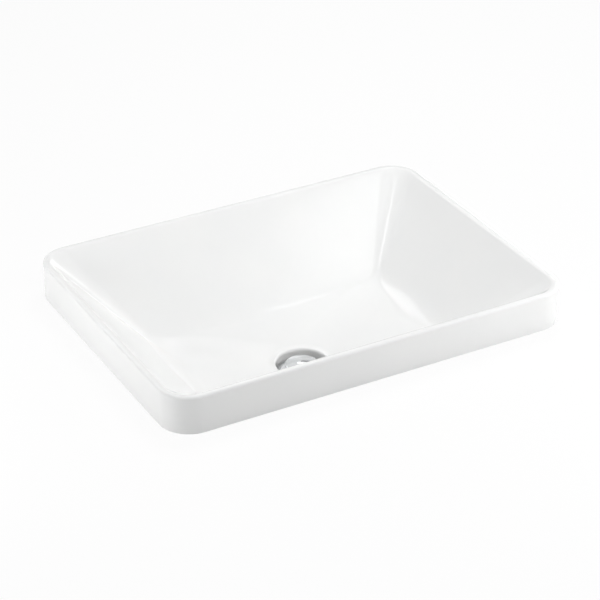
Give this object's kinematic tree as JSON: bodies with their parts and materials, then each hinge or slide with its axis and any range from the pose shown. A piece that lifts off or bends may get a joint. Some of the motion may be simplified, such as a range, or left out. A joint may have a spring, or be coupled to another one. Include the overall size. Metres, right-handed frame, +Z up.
{
  "type": "countertop basin",
  "caption": "Rectangular inset countertop basin of glazed ceramic with soft corners, a raised rim, a central drain and a chrome push waste with a domed plug.",
  "frame": {"origin": "centre of the plane of the rim's foot, which stands on the counter", "axes": "+X along the length, to the right seen from the front, +Y to the back, +Z up"},
  "size_m": [0.53, 0.39, 0.213],
  "materials": {
    "white_china": "gloss",
    "chrome": "polished",
    "rubber": "matte",
    "foam": "matte",
    "white_plastic": "satin",
    "brass": "satin",
    "spring_steel": "satin"
  },
  "bodies": {
    "fixed_basin": {"basin": "white_china", "waste_body": "chrome", "flange_washer": "foam", "tapered_washer": "rubber", "slip_washer": "white_plastic", "back_nut": "brass", "cartridge_barrel": "brass", "barrel_bush": "white_plastic", "barrel_end_cap": "white_plastic", "cartridge_lock_nut": "brass", "return_spring": "spring_steel"},
    "plug": {"plunger": "brass", "plug_cap": "chrome", "plug_seal": "rubber", "seal_retainer": "white_plastic", "stem_lock_nut": "brass"},
    "rotor": {"cam_rotor": "white_plastic"}
  },
  "joints": [
    {"name": "plug_slide", "type": "slide", "parent": "fixed_basin", "child": "plug", "axis": [0, 0, 1], "range_m": [-0.009, 0], "stiffness_N_per_m": 400, "springref_m": 0.008, "deforming": ["return_spring"]},
    {"name": "rotor_turn", "type": "hinge", "parent": "plug", "child": "rotor", "pos_m": [0, -0.0075, -0.118], "axis": [0, 0, 1], "range_deg": [0, 45]}
  ],
  "couplings": [
    {"joint": "rotor_turn", "follows": "plug_slide", "rad_per_m": -87.26}
  ]
}
